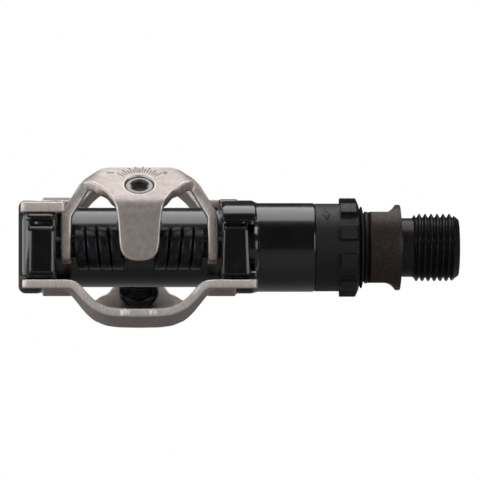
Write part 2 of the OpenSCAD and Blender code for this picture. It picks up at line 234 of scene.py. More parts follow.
def plate(outline, top, bottom, holes=(), r=0.4, step=0.8, arc=3):
    """Closed solid between two surfaces over an outline, with its edges rounded to r."""
    area = sum(a.x * b.y - b.x * a.y for a, b in zip(outline, outline[1:] + outline[:1]))
    loops = [list(outline if area > 0 else reversed(outline))] + [list(h) for h in holes]
    rings = []
    for k in range(arc + 1):
        a = math.pi / 2 * k / arc
        rings.append((r * (1 - math.sin(a)), r * (1 - math.cos(a)), False))
    rings += [(offset, depth, True) for offset, depth, _ in reversed(rings)]

    def place(u, v, depth, from_bottom):
        a, b = top(u, v), bottom(u, v)
        share = depth / (b - a).length
        return a.lerp(b, 1 - share if from_bottom else share)

    verts, faces, top_ring, bottom_ring = [], [], [], []
    for loop in loops:
        n = len(loop)
        base = len(verts)
        for offset, depth, from_bottom in rings:
            for p in inset(loop, offset):
                verts.append(place(p.x, p.y, depth, from_bottom))
        for k in range(len(rings) - 1):
            for i in range(n):
                j = (i + 1) % n
                a, b = base + k * n, base + (k + 1) * n
                faces.append((a + i, b + i, b + j, a + j))
        top_ring += range(base, base + n)
        bottom_ring += range(len(verts) - n, len(verts))

    points, numbers, triangles = filled(loops, r, step)
    top_index, bottom_index = [], []
    for p, number in zip(points, numbers):
        if number is None:
            top_index.append(len(verts))
            verts.append(place(p.x, p.y, 0, False))
            bottom_index.append(len(verts))
            verts.append(place(p.x, p.y, 0, True))
        else:
            top_index.append(top_ring[number])
            bottom_index.append(bottom_ring[number])
    for t in triangles:
        faces.append(tuple(top_index[i] for i in t))
        faces.append(tuple(bottom_index[i] for i in reversed(t)))
    return outward(verts, faces)


def under(surface, t):
    """The surface that lies t behind another one."""
    def behind(u, v):
        e = 0.02
        du = surface(u + e, v) - surface(u - e, v)
        dv = surface(u, v + e) - surface(u, v - e)
        return surface(u, v) - du.cross(dv).normalized() * t
    return behind


def x_plane(x):
    """Upright surface across the spindle; u is Y and v is Z."""
    return lambda u, v: Vector((x, u, v))


def radius_at(r, angle):
    return r(angle) if callable(r) else r


def between(r0, r1, share):
    """Radius that lies a share of the way from one radius to another."""
    return lambda a: (1 - share) * radius_at(r0, a) + share * radius_at(r1, a)


def supported(rings, gap=1.2, margin=0.12):
    """The same rings with one more near each end of a long stretch, to keep its shading straight."""
    out = [rings[0]]
    for (x0, r0), (x1, r1) in zip(rings, rings[1:]):
        length = abs(x1 - x0)
        if length > gap:
            for share in (margin / length, 1 - margin / length):
                out.append((x0 + (x1 - x0) * share, between(r0, r1, share)))
        out.append((x1, r1))
    return out


def lathe(rings, n=96, place=None, angles=None):
    """Closed solid from rings (axial, radius); a radius may be a function of the angle.
    A radius of 0 at either end closes it with a point."""
    angles = angles or [TAU * k / n for k in range(n)]
    n = len(angles)
    place = place or (lambda a, c, s: Vector((a, c, s)))
    verts, faces, rows = [], [], []
    for axial, radius in supported(rings):
        if not callable(radius) and radius == 0:
            rows.append([len(verts)])
            verts.append(place(axial, 0, 0))
            continue
        rows.append(list(range(len(verts), len(verts) + n)))
        for a in angles:
            r = radius_at(radius, a)
            verts.append(place(axial, r * math.cos(a), r * math.sin(a)))
    for low, high in zip(rows, rows[1:]):
        for i in range(n):
            j = (i + 1) % n
            if len(low) == 1:
                faces.append((low[0], high[j], high[i]))
            elif len(high) == 1:
                faces.append((low[i], low[j], high[0]))
            else:
                faces.append((low[i], low[j], high[j], high[i]))
    if len(rows[0]) > 1 and len(rows[-1]) > 1:
        for i in range(n):
            j = (i + 1) % n
            faces.append((rows[-1][i], rows[-1][j], rows[0][j], rows[0][i]))
    return outward(verts, faces)


def loft(loops):
    """Closed solid through loops with the same number of points."""
    n = len(loops[0])
    verts = [p for loop in loops for p in loop]
    faces = [(k * n + i, k * n + (i + 1) % n, (k + 1) * n + (i + 1) % n, (k + 1) * n + i)
             for k in range(len(loops) - 1) for i in range(n)]
    faces.append(tuple(range(n - 1, -1, -1)))
    faces.append(tuple((len(loops) - 1) * n + i for i in range(n)))
    return outward(verts, faces)


def sweep(path, sides, section):
    """Closed solid along a path; sides holds the section's two axes at each point."""
    return loft([[p + e1 * a + e2 * b for a, b in section] for p, (e1, e2) in zip(path, sides)])


def half_turn(shell):
    verts, faces = shell
    return [Vector((v[0], -v[1], -v[2])) for v in verts], faces


def make_piece(name, shells, body, nodes, sharp):
    """One object from shells given as (shell, material); it rides on a body and replaces nodes.
    A pair of materials goes to a plate's two faces, which are triangles, and to its rims."""
    verts, faces, used, index = [], [], [], []
    for (v, f), material in shells:
        pair = material if isinstance(material, tuple) else (material, material)
        used += [m for m in pair if m not in used]
        base = len(verts)
        verts += [Vector(p) * MM for p in v]
        faces += [tuple(base + i for i in face) for face in f]
        index += [used.index(pair[0] if len(face) == 3 else pair[1]) for face in f]
    mesh = bpy.data.meshes.new(name)
    mesh.from_pydata(verts, [], faces)
    for material in used:
        mesh.materials.append(material)
    mesh.polygons.foreach_set("material_index", index)
    mesh.polygons.foreach_set("use_smooth", [True] * len(faces))
    mesh.set_sharp_from_angle(angle=math.radians(sharp))
    mesh.update()
    obj = bpy.data.objects.new(name, mesh)
    bpy.context.scene.collection.objects.link(obj)
    if body:
        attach(obj, body)
    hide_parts(*nodes)
    return obj


def make_pair(name, shells, body, node, sharp):
    """One piece on the top side and its like on the bottom side; {} in names stands for the side."""
    for side in ("top", "bottom"):
        placed = [(half_turn(s) if side == "bottom" else s, material) for s, material in shells]
        make_piece(name.format(side), placed, body.format(side), [node.format(side)], sharp)


# ---------------------------------------------------------------- materials

def shader(name, color, metallic=0.0, roughness=0.5, **sockets):
    """A principled material with its constants on the shader's own sockets."""
    mat = bpy.data.materials.new(name)
    mat.use_nodes = True
    bsdf = mat.node_tree.nodes["Principled BSDF"]
    bsdf.inputs["Base Color"].default_value = (*color, 1)
    bsdf.inputs["Metallic"].default_value = metallic
    bsdf.inputs["Roughness"].default_value = roughness
    for key, value in sockets.items():
        bsdf.inputs[key.replace("_", " ")].default_value = value
    return mat, bsdf


def add_noise(mat, per_mm, detail=4.0, stretch=(1, 1, 1)):
    """Noise in the piece's own rest frame, with about per_mm features to the millimetre."""
    nodes, links = mat.node_tree.nodes, mat.node_tree.links
    coords = nodes.new("ShaderNodeTexCoord")
    mapping = nodes.new("ShaderNodeMapping")
    mapping.inputs["Scale"].default_value = [s / MM for s in stretch]
    noise = nodes.new("ShaderNodeTexNoise")
    noise.inputs["Scale"].default_value = per_mm
    noise.inputs["Detail"].default_value = detail
    links.new(coords.outputs["Object"], mapping.inputs["Vector"])
    links.new(mapping.outputs["Vector"], noise.inputs["Vector"])
    return noise.outputs["Fac"]


def vary_color(mat, bsdf, fac, low, high, span=(0.35, 0.65)):
    nodes, links = mat.node_tree.nodes, mat.node_tree.links
    ramp = nodes.new("ShaderNodeValToRGB")
    ramp.color_ramp.elements[0].position = span[0]
    ramp.color_ramp.elements[1].position = span[1]
    ramp.color_ramp.elements[0].color = (*low, 1)
    ramp.color_ramp.elements[1].color = (*high, 1)
    links.new(fac, ramp.inputs["Fac"])
    links.new(ramp.outputs["Color"], bsdf.inputs["Base Color"])


def vary_roughness(mat, bsdf, fac, low, high):
    nodes, links = mat.node_tree.nodes, mat.node_tree.links
    ranged = nodes.new("ShaderNodeMapRange")
    ranged.inputs["From Min"].default_value = 0.3
    ranged.inputs["From Max"].default_value = 0.7
    ranged.inputs["To Min"].default_value = low
    ranged.inputs["To Max"].default_value = high
    links.new(fac, ranged.inputs["Value"])
    links.new(ranged.outputs["Result"], bsdf.inputs["Roughness"])


def add_bump(mat, bsdf, fac, height_mm, strength):
    nodes, links = mat.node_tree.nodes, mat.node_tree.links
    bump = nodes.new("ShaderNodeBump")
    bump.inputs["Strength"].default_value = strength
    bump.inputs["Distance"].default_value = height_mm * MM
    links.new(fac, bump.inputs["Height"])
    links.new(bump.outputs["Normal"], bsdf.inputs["Normal"])


def claw_steel():
    mat, bsdf = shader("claw_steel", (0.5, 0.445, 0.425), 1.0, 0.54)
    vary_color(mat, bsdf, add_noise(mat, 0.9), (0.45, 0.4, 0.38), (0.54, 0.48, 0.457))
    vary_roughness(mat, bsdf, add_noise(mat, 0.25), 0.5, 0.6)
    add_bump(mat, bsdf, add_noise(mat, 7.0, 3.0), 0.03, 0.5)
    return mat


def sheared_steel(name, low, high, rough):
    mat, bsdf = shader(name, high, 1.0, rough)
    grain = add_noise(mat, 1.0, 3.0, (4.0, 4.0, 0.7))
    vary_color(mat, bsdf, grain, low, high)
    add_bump(mat, bsdf, grain, 0.03, 0.4)
    return mat


def body_paint():
    mat, bsdf = shader("body_paint", (0.002, 0.002, 0.002), 0.0, 0.28, IOR=1.65, Coat_Weight=0.6,
                       Coat_Roughness=0.12)
    vary_color(mat, bsdf, add_noise(mat, 1.6), (0.002, 0.002, 0.002), (0.004, 0.004, 0.004))
    vary_roughness(mat, bsdf, add_noise(mat, 0.5), 0.19, 0.27)
    add_bump(mat, bsdf, add_noise(mat, 1.4, 2.0), 0.012, 0.6)
    return mat


def spring_steel():
    mat, bsdf = shader("spring_steel", (0.03, 0.03, 0.034), 0.75, 0.34)
    vary_color(mat, bsdf, add_noise(mat, 1.2), (0.016, 0.017, 0.019), (0.036, 0.037, 0.042))
    vary_roughness(mat, bsdf, add_noise(mat, 2.0), 0.27, 0.42)
    add_bump(mat, bsdf, add_noise(mat, 5.0, 3.0), 0.02, 0.4)
    return mat


def black_oxide(name="black_oxide", low=(0.012, 0.011, 0.012), high=(0.03, 0.028, 0.029), rough=0.3):
    mat, bsdf = shader(name, high, 0.6, rough)
    vary_color(mat, bsdf, add_noise(mat, 2.6), low, high)
    vary_roughness(mat, bsdf, add_noise(mat, 1.5), rough - 0.05, rough + 0.1)
    add_bump(mat, bsdf, add_noise(mat, 6.0, 3.0), 0.008, 0.3)
    return mat


def sleeve_plastic():
    mat, bsdf = shader("sleeve_plastic", (0.01, 0.01, 0.012), 0.0, 0.5)
    vary_color(mat, bsdf, add_noise(mat, 2.0), (0.006, 0.006, 0.007), (0.011, 0.011, 0.012))
    vary_roughness(mat, bsdf, add_noise(mat, 1.0), 0.44, 0.58)
    add_bump(mat, bsdf, add_noise(mat, 9.0, 4.0), 0.035, 0.6)
    return mat


def seal_rubber():
    mat, bsdf = shader("seal_rubber", (0.012, 0.012, 0.013), 0.0, 0.62)
    vary_color(mat, bsdf, add_noise(mat, 2.4), (0.009, 0.009, 0.01), (0.018, 0.018, 0.019))
    add_bump(mat, bsdf, add_noise(mat, 6.0, 4.0), 0.03, 0.6)
    return mat


def bright_steel(name="bright_steel", base=(0.62, 0.62, 0.63), rough=0.2):
    mat, bsdf = shader(name, base, 1.0, rough)
    low = tuple(0.85 * c for c in base)
    vary_color(mat, bsdf, add_noise(mat, 1.5), low, base)
    vary_roughness(mat, bsdf, add_noise(mat, 3.0), rough - 0.04, rough + 0.08)
    add_bump(mat, bsdf, add_noise(mat, 8.0, 2.0), 0.01, 0.3)
    return mat


STEEL = claw_steel()
SHEARED = sheared_steel("sheared_steel", (0.6, 0.54, 0.51), (0.8, 0.725, 0.685), 0.46)
# Lighter copy of the sheared steel for the front claws' rims: the sheared grain is real, the extra
# lightness is a painted highlight.
PAINTED_HIGHLIGHT_RIM = sheared_steel("rim_steel_painted_highlight", (0.72, 0.66, 0.63), (0.88, 0.815, 0.785), 0.56)
PAINT = body_paint()
SPRING = spring_steel()
OXIDE = black_oxide()
SPINDLE_OXIDE = black_oxide("spindle_oxide", (0.034, 0.024, 0.02), (0.062, 0.044, 0.038), 0.42)
THREAD_OXIDE = black_oxide("thread_oxide", (0.02, 0.018, 0.018), (0.034, 0.03, 0.03), 0.32)
PLASTIC = sleeve_plastic()
RUBBER = seal_rubber()
BRIGHT = bright_steel()
GROUND = bright_steel("ground_steel", (0.5, 0.5, 0.51), 0.25)
PIN_STEEL = bright_steel("pin_steel", (0.025, 0.024, 0.025), 0.35)
BOLT_STEEL = bright_steel("bolt_zinc", (0.24, 0.23, 0.23), 0.3)
STAMPED = bright_steel("stamped_steel", (0.24, 0.22, 0.21), 0.42)


# ---------------------------------------------------------------- front claws

# (distance across from the middle, height or rise)
ARCH_TOP = [(0, 14.5), (4.2, 14.45), (6.7, 14.15), (9.4, 13.0), (11.5, 11.2), (13.7, 8.65), (40, 8.65)]
HOOK_RISE = [(0, 2.35), (7.4, 2.3), (10.5, 2.2), (13.7, 1.6), (15.5, 0), (40, 0)]
HOOK_Y = 22.0
RAIL_IN = 14.2
TOE_IN = 15.2
NOTCH = (-27.4, -16.0)
# (Y, added thickness)
RAIL_SWELL = [(-60, 0.3), (-RAIL_Y, 0.3), (-CROWN_FOOT - 1, 1.0), (-CROWN_FLAT, 0), (60, 0)]
INNER_RAIL_END = 6.0
NICKS = (-3.25, -2.6, 2.7)


def front_claw_sheet(x, y):
    """Front claw as bent: rails joggled over the bore, and the arch up to its hook."""
    across = abs(x - BIND_X)
    crown = soft([(0, CROWN_RISE), (CROWN_FLAT, CROWN_RISE), (CROWN_FOOT, 0), (60, 0)], abs(y), 0.9)
    share = min(1.2, max(0.0, (FRONT_Y - y) / (FRONT_Y - HOOK_Y)))
    fade = soft([(-60, 0), (14, 0), (18.5, 1), (60, 1)], y, 1.0)
    arch = soft(ARCH_TOP, across, 0.9) - ARCH_TOP[-1][1]
    rise = soft(HOOK_RISE, across, 1.2) * share
    return Vector((x, y, LEDGE_Z + PLATE_T + crown + fade * (arch + rise)))


def front_claw_top(x, y):
    """Outer face of a front claw; the outer rail thickens from its rear end to the bore."""
    p = front_claw_sheet(x, y)
    if x < BIND_X:
        p.z += soft(RAIL_SWELL, y, 1.5)
    return p


def front_edge():
    """The front edge from the crank side outwards, with its small shear nicks."""
    points = [(WALL_RIGHT, FRONT_Y, 0.9)]
    for nick in sorted(NICKS, reverse=True):
        x = BIND_X + nick
        for dx, dy in ((0.24, 0), (0.1, 0.28), (-0.1, 0.28), (-0.24, 0)):
            points.append((x + dx, FRONT_Y + dy, 0.04))
    points.append((WALL_LEFT, FRONT_Y, 1.0))
    return points


def front_claw_outline():
    return rounded([
        (WALL_LEFT - 0.4, -RAIL_Y, 0.7), (BIND_X - TOE_IN, -RAIL_Y, 0.8),
        (BIND_X - TOE_IN, NOTCH[0], 0.6), (OUTER_WALL_X, NOTCH[0], 0.5), (OUTER_WALL_X, NOTCH[1], 0.5),
        (BIND_X - RAIL_IN, NOTCH[1], 0.8), (BIND_X - RAIL_IN, 17, 3), (BIND_X - 12.6, 20.6, 2),
        (BIND_X - 6, HOOK_Y - 0.2, 3), (BIND_X + 6, HOOK_Y - 0.2, 3), (BIND_X + 12.6, 20.6, 2),
        (BIND_X + RAIL_IN, 17, 3), (BIND_X + RAIL_IN, INNER_RAIL_END, 0.6),
        (LIP_RIGHT, INNER_RAIL_END, 0.6), (LIP_RIGHT, CROWN_END, 1.5),
        (WALL_RIGHT, CROWN_END + 1, 1.5), *front_edge(), (WALL_LEFT, CROWN_END + 1, 1.5),
        (LIP_LEFT, CROWN_END, 1.5), (LIP_LEFT, -CROWN_END, 1.5), (WALL_LEFT, -CROWN_END - 1, 1.5),
    ], 0.5)


SCREW_AT = [(-75.7, 27), (-34.4, 27), (-75.7, -20)]
SCREW_HEAD_R = 3.3


def front_claws():
    holes = [circle(x, y, SCREW_HEAD_R + 0.06) for x, y in SCREW_AT]
    shell = plate(front_claw_outline(), front_claw_top, under(front_claw_sheet, PLATE_T), holes,
                  r=0.32, step=0.8)
    # The rims take the lighter sheared steel, a painted highlight on their near edges.
    make_pair("{}_front_claw_plate", [(shell, (STEEL, PAINTED_HIGHLIGHT_RIM))], "pedal_body",
              "{}_front_claw", sharp=40)


front_claws()


# ---------------------------------------------------------------- rear claws

# (length round the sheet from its middle, distance across or down)
SHEET_ACROSS = [(0, 0), (7.4, 7.4), (12.77, 11.85), (20.93, ARM_X), (40, ARM_X)]
SHEET_DROP = [(0, 0), (7.4, 0), (12.77, 3), (20.93, 10), (40, 29.07)]
EYE_U = 20.93 + ROOF_TOP - 10 - PIVOT.z
EYE_V = LIP_Y - PIVOT.y
EYE_R = 3.3
BEND_REACH = 1.6
BOLT_HOLE_R = 2.98
PIN_HOLE_R = 2.38
RAYS = 15
RAY_SPREAD = math.radians(98)
RAY_START = 4.0
RAY_ENDS = (6.1, 5.4)


def roof_run(v):
    """How far back and down the roof and its tongue reach at a length v from the lip."""
    turn = math.pi / 2 - SLOPE
    start = BEND_V - BEND_REACH
    straight = min(v, start)
    back, down = straight * math.cos(SLOPE), straight * math.sin(SLOPE)
    bent = min(max(v - start, 0), 2 * BEND_REACH)
    radius = 2 * BEND_REACH / turn
    angle = SLOPE + bent / radius
    back += radius * (math.sin(angle) - math.sin(SLOPE))
    down += radius * (math.cos(SLOPE) - math.cos(angle))
    down += max(v - start - 2 * BEND_REACH, 0)
    return back, down


def rear_claw_face(u, v):
    """Outer face of a rear claw; u runs round the sheet from its middle, v back from its lip."""
    a = abs(u)
    back, down = roof_run(v)
    roof = soft([(0, 1), (7.4, 1), (13.4, 0), (60, 0)], a, 0.9)
    x = BIND_X - math.copysign(soft(SHEET_ACROSS, a, 1.6), u)
    y = LIP_Y - roof * back - (1 - roof) * v
    return Vector((x, y, ROOF_TOP - soft(SHEET_DROP, a, 1.6) - roof * down))


def mirrored(half):
    """Closed outline from its right half, given from the middle of its first edge onwards."""
    return half + [(-x, y, r) for x, y, r in reversed(half)]


def rear_claw_outline():
    reach = EYE_U + EYE_R
    return rounded(mirrored([
        (7.4, 0, 1), (12.77, -0.5, 3), (21, -1.5, 4), (reach, EYE_V - EYE_R, EYE_R),
        (reach, EYE_V + EYE_R, EYE_R), (21, 4.6, 6), (15.5, 3.4, 4), (12.4, 3.3, 1.2),
        (9.93, 5.4, 3), (7.0, 8.06, 2), (5.6, 10.8, 3), (4.85, 12.6, 3), (4.4, 16, 6),
        (3.85, 23.95, 3.7),
    ]), 0.5)


def raised(surface, t):
    """The surface that stands t proud of another one."""
    return under(surface, -t)


def mark(outline, proud=0.05):
    """Thin raised mark on the rear claw's outer face."""
    return plate(rounded([(x, y, 0.1) for x, y in outline], 0.35), raised(rear_claw_face, proud),
                 under(rear_claw_face, 0.25), r=0.04, step=1.5, arc=1)


def bar(u, v, length, width):
    """Corners of a bar centred at (u, v)."""
    corners = ((-length, -width), (length, -width), (length, width), (-length, width))
    return [(u + a / 2, v + b / 2) for a, b in corners]


def stamped_rays():
    """Tapered rays fanned round the bolt hole on the side of the lip."""
    shells = []
    for k in range(RAYS):
        angle = -math.pi / 2 + RAY_SPREAD * (k / (RAYS - 1) - 0.5)
        along = Vector((math.cos(angle), math.sin(angle)))
        across = Vector((-along.y, along.x))
        centre = Vector((0, BOLT_V))
        near = centre + along * RAY_START
        far = centre + along * RAY_ENDS[k % 2]
        shells.append(mark([near - across * 0.1, far - across * 0.22,
                            far + across * 0.22, near + across * 0.1]))
    return shells


def turn_signs():
    """Minus and plus signs that say which way the bolt eases and tightens."""
    return [mark(bar(5.9, 2.1, 1.7, 0.34)), mark(bar(-5.3, 2.1, 1.3, 0.34)),
            mark(bar(-5.3, 2.1, 0.34, 1.3), 0.06)]


def rear_claws():
    holes = [circle(0, BOLT_V, BOLT_HOLE_R), circle(EYE_U, EYE_V, PIN_HOLE_R),
             circle(-EYE_U, EYE_V, PIN_HOLE_R)]
    sheet = plate(rear_claw_outline(), rear_claw_face, under(rear_claw_face, CLAW_T), holes,
                  r=0.42, step=0.75, arc=4)
    shells = [(sheet, (STEEL, SHEARED))] + [(m, STAMPED) for m in stamped_rays() + turn_signs()]
    make_pair("{}_rear_claw_sheet", shells, "{}_rear_claw", "{}_rear_claw", sharp=40)


rear_claws()


# ---------------------------------------------------------------- springs

MEAN_R = COIL_R - WIRE / 2
NEAR_PASSES = (12.15, 9.7, 7.25, 4.8)
LEG_REACH = 15.0
LIFT_REACH = 3.4
LIFT_ANGLE = 38.3


def square_section(width, depth, r, count=3):
    """Outline of a square wire with rounded corners."""
    out = []
    for k in range(4):
        centre_a = (width / 2 - r) * (1 if k in (0, 3) else -1)
        centre_b = (depth / 2 - r) * (1 if k in (0, 1) else -1)
        for i in range(count + 1):
            angle = math.pi / 2 * (k + i / count)
            out.append((centre_a + r * math.cos(angle), centre_b + r * math.sin(angle)))
    return out


def torsion_spring(side):
    """Closed-wound spring from the leg on the barrel to the leg under the tension nut."""
    passes = [180 + 360 * k for k in range(len(NEAR_PASSES))]
    last = LIFT_ANGLE + 360 * len(NEAR_PASSES)
    angles = [90] + passes + [last]
    across = [NEAR_PASSES[0] + 0.3, *NEAR_PASSES, NEAR_PASSES[-1] - 1.2]
    path, sides = [], []
    x_axis = Vector((1, 0, 0))

    def add(angle, run):
        t = math.radians(angle)
        radial = Vector((0, math.cos(t), math.sin(t)))
        along = Vector((0, -math.sin(t), math.cos(t)))
        dx = soft(list(zip(angles, across)), angle, 25)
        centre = Vector((BIND_X + side * dx, PIVOT.y, PIVOT.z))
        path.append(centre + radial * MEAN_R + along * run)
        sides.append((x_axis, radial))

    for run in (-LEG_REACH, -LEG_REACH * 0.6, -LEG_REACH * 0.2):
        add(angles[0], run)
    steps = round((last - angles[0]) / 7.5)
    for k in range(steps + 1):
        add(angles[0] + (last - angles[0]) * k / steps, 0)
    for run in (LIFT_REACH * 0.4, LIFT_REACH):
        add(last, run)
    return sweep(path, sides, square_section(WIRE + 0.05, WIRE, 0.38))


def springs():
    for side, word in ((-1, "outer"), (1, "inner")):
        coil = torsion_spring(side)
        for face in ("top", "bottom"):
            shell = half_turn(coil) if face == "bottom" else coil
            obj = make_piece(f"{face}_{word}_coil", [(shell, SPRING)], None,
                             [f"{face}_{word}_spring"], sharp=50)
            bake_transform(obj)


springs()


# ---------------------------------------------------------------- screws, bolts and nuts

def thread_radius(x, angle, pitch, minor, major, hand=1):
    """Radius of a thread at x and at an angle; hand is -1 for a left-hand thread."""
    t = (x - hand * pitch * angle / TAU) / pitch % 1
    crest = min(1.0, max(0.0, 1.3 * (1 - abs(2 * t - 1)) - 0.12))
    return minor + (major - minor) * crest


def hex_radius(across_flats):
    """Radius of a hexagon as a function of the angle."""
    def radius(angle):
        return across_flats / 2 / math.cos((angle + math.pi / 6) % (math.pi / 3) - math.pi / 6)
    return radius


def along_axis(origin, axis):
    """Places a lathe's rings along an axis at right angles to X, with its first direction along X."""
    side = Vector((1, 0, 0))
    other = axis.cross(side).normalized()
    return lambda a, c, s: origin + axis * a + side * c + other * s


def threaded(start, end, pitch, minor, major, per_turn=10):
    """Rings of a right-hand thread between two places on its axis."""
    count = round(abs(end - start) / pitch * per_turn)
    rings = []
    for k in range(count + 1):
        x = start + (end - start) * k / count
        rings.append((x, lambda a, x=x: thread_radius(x, a, pitch, minor, major)))
    return rings


BOLT_LENGTH = 13.0
HEAD_R = 2.88
HEAD_TOP = -0.25
COLLAR_TOP = -CLAW_T - 0.12
COLLAR_END = COLLAR_TOP - 0.66
SOCKET = 3.0
NUT_R = 4.2


def tension_bolts():
    place = along_axis(BOLT, BOLT_AXIS)
    socket = hex_radius(SOCKET)
    shank = [(-BOLT_LENGTH, 0), (-BOLT_LENGTH, 1.8), (-BOLT_LENGTH + 0.5, 2.1)]
    shank += threaded(-BOLT_LENGTH + 0.6, COLLAR_END - 0.3, 0.8, 2.08, 2.48)
    shank += [(COLLAR_END, 2.2), (COLLAR_END, 3.1), (COLLAR_END + 0.15, 3.25),
              (COLLAR_TOP - 0.12, 3.25), (COLLAR_TOP, 3.1), (COLLAR_TOP + 0.02, HEAD_R - 0.1),
              (COLLAR_TOP + 0.2, HEAD_R)]
    head = [(HEAD_TOP - 0.35, HEAD_R), (HEAD_TOP - 0.12, HEAD_R - 0.08), (HEAD_TOP, HEAD_R - 0.35),
            (HEAD_TOP, 2.15), (HEAD_TOP - 0.06, 2.0)]
    recess = [(HEAD_TOP - 0.3, lambda a: 1.03 * socket(a)), (HEAD_TOP - 0.45, socket),
              (-2.0, socket), (-2.3, 0)]
    shell = lathe(shank + head + recess, 48, place)
    make_pair("{}_bolt", [(shell, BOLT_STEEL)], "{}_tension_bolt",
              "{}_tension_bolt", sharp=30)


def tension_nuts():
    place = along_axis(BOLT, BOLT_AXIS)
    top = -CLAW_T - 1.1
    bore = 2.6
    rim = 0.3
    shell = lathe([(top, bore), (top, NUT_R - rim), (top - 0.1, NUT_R - 0.08), (top - rim, NUT_R),
                   (top - 1.5 + rim, NUT_R), (top - 1.4, NUT_R - 0.08), (top - 1.5, NUT_R - rim),
                   (top - 1.5, 3.0), (top - 1.7, 2.9), (top - 2.2, 2.9), (top - 2.35, 2.75),
                   (top - 2.5, 2.9), (top - 3, 2.9), (top - 3.15, 2.75), (top - 3.3, 2.9),
                   (top - 4 + rim, 2.9), (top - 3.9, 2.85), (top - 4, 2.75), (top - 4, bore)],
                  64, place)
    make_pair("{}_nut", [(shell, OXIDE)], "{}_tension_nut",
              "{}_tension_nut", sharp=35)


def claw_screws():
    socket = hex_radius(2.5)
    shells = []
    for x, y in SCREW_AT:
        origin = Vector((x, y, LEDGE_Z + PLATE_T))
        rings = [(-5.4, 0), (-5.4, 1.5), (-5.1, 1.95), (-1.6, 1.95), (-0.2, SCREW_HEAD_R - 0.12),
                 (-0.06, SCREW_HEAD_R - 0.05), (0, SCREW_HEAD_R - 0.2), (0, 1.75),
                 (-0.12, lambda a: 1.04 * socket(a)), (-0.25, socket), (-1.4, socket), (-1.6, 0)]
        shells.append((lathe(rings, 48, along_axis(origin, Vector((0, 0, 1)))), OXIDE))
    make_pair("{}_screws", shells, "pedal_body", "{}_claw_screws", sharp=30)


tension_bolts()
tension_nuts()
claw_screws()


# ---------------------------------------------------------------- spindle and seal

THREAD_R = 7.144
THREAD_ROOT = 6.32
THREAD_PITCH = 1.27
THREAD_START = 2.7
THREAD_END = SPINDLE_END
LEAD_IN = 1.5
NECK_R = 6.225
FLANGE_R = 9.05
FLAT_HALF = 7.5
FLAT_END = -3.1
RUN_OUT_R = 2.2
WRENCH_END = -6.6


def wrench_radius(x, full):
    """Radius round the wrench section, with its flats above and below."""
    flat = FLAT_HALF
    if x > FLAT_END:
        flat += RUN_OUT_R - math.sqrt(max(0.0, RUN_OUT_R ** 2 - (x - FLAT_END) ** 2))
    return lambda a: min(full, flat / max(abs(math.sin(a)), 1e-6))


def thread_ring(x):
    """Radius of the crank thread at x, with its run-out at the neck and its lead-in taper."""
    lead = THREAD_R - max(0.0, x - (THREAD_END - LEAD_IN)) / LEAD_IN * 1.2
    run_out = NECK_R + 0.15 + max(0.0, x - THREAD_START) * 1.6
    envelope = min(lead, run_out)
    return lambda a: min(envelope,
                         thread_radius(x, a, THREAD_PITCH, THREAD_ROOT, THREAD_R, -1))


def spindle():
    inner = [(-74.6, 0), (-74.6, 2.5), (-74.2, 3.0), (-62, 3.0), (-62, 4.4), (-23.7, 4.4),
             (-23.7, 5.2), (-23.2, 4.6), (-22.6, 4.25), (-21.5, 4.16), (-20.4, 4.25), (-19.8, 4.6),
             (-19.3, 5.2), (-19, 5.2), (-19, 5.9), (-9.9, 5.9), (-9.9, 6.2), (-6.6, 6.2)]
    wrench = []
    for x, full in [(WRENCH_END, FLANGE_R - 0.42), (WRENCH_END + 0.12, FLANGE_R - 0.14),
                    (WRENCH_END + 0.35, FLANGE_R)]:
        wrench.append((x, wrench_radius(x, full)))
    steps = 14
    for k in range(steps + 1):
        x = FLAT_END + (RUN_OUT_R * 0.96) * k / steps
        wrench.append((x, wrench_radius(x, FLANGE_R)))
    face = [(-0.2, FLANGE_R), (-0.06, FLANGE_R - 0.06), (0, FLANGE_R - 0.22)]
    neck = [(0, NECK_R + 0.3), (0.1, NECK_R + 0.08), (0.35, NECK_R), (THREAD_START, NECK_R)]
    count = round((THREAD_END - THREAD_START) / THREAD_PITCH * 14)
    thread = []
    for k in range(count + 1):
        x = THREAD_START + (THREAD_END - THREAD_START) * k / count
        thread.append((x, thread_ring(x)))
    tip = [(THREAD_END, 5.6), (THREAD_END - 0.15, 5.3), (THREAD_END - 0.15, 0)]
    shaft = lathe(inner + [(-6.6, 6.6), (-6.55, 0)], 64)
    grip = lathe([(-6.55, 0), (WRENCH_END, FLANGE_R - 1.9), *wrench, *face, (0, 0)], 240)
    end = lathe([(-0.05, 0), *neck, *thread, *tip], 120)
    make_piece("spindle_forging", [(shaft, GROUND), (grip, SPINDLE_OXIDE), (end, THREAD_OXIDE)],
               "spindle", ["spindle"], sharp=28)


def dust_seal():
    seat = 6.23
    x0, x1 = SEAL_LOW.x, SEAL_HIGH.x
    rings = [(x0, seat), (x0, 7.6), (x0 + 0.12, 8.1), (x0 + 0.3, 8.55), (x0 + 0.42, 8.65),
             (x0 + 0.55, 8.62), (x0 + 0.64, 8.45), (x0 + 0.85, 7.4), (x0 + 0.98, 7.22),
             (x0 + 1.1, 7.4), (x0 + 1.2, 7.58), (x0 + 1.35, 7.65), (x0 + 1.52, 7.62),
             (x1 - 0.1, 7.45), (x1, 7.3), (x1, seat)]
    make_piece("dust_seal_lips", [(lathe(rings, 120), RUBBER)], "spindle",
               ["dust_seal"], sharp=50)


spindle()
dust_seal()


# ---------------------------------------------------------------- lock sleeve

TEETH = 10
SPLINE_R = SLEEVE_HIGH.z
COLLAR_R = 9.3
SPLINE_X = -12.85
# (degrees from a tooth's middle, share of its height)
TOOTH_PROFILE = [(0, 1), (8.2, 1), (8.9, 0.92), (9.4, 0.08), (10.1, 0), (18, 0)]
TOOTH_POINTS = (-14, -10.1, -9.4, -8.9, -8.2, -4, 0, 4, 8.2, 8.9, 9.4, 10.1, 14, 18)
ARROW_X = -15.8


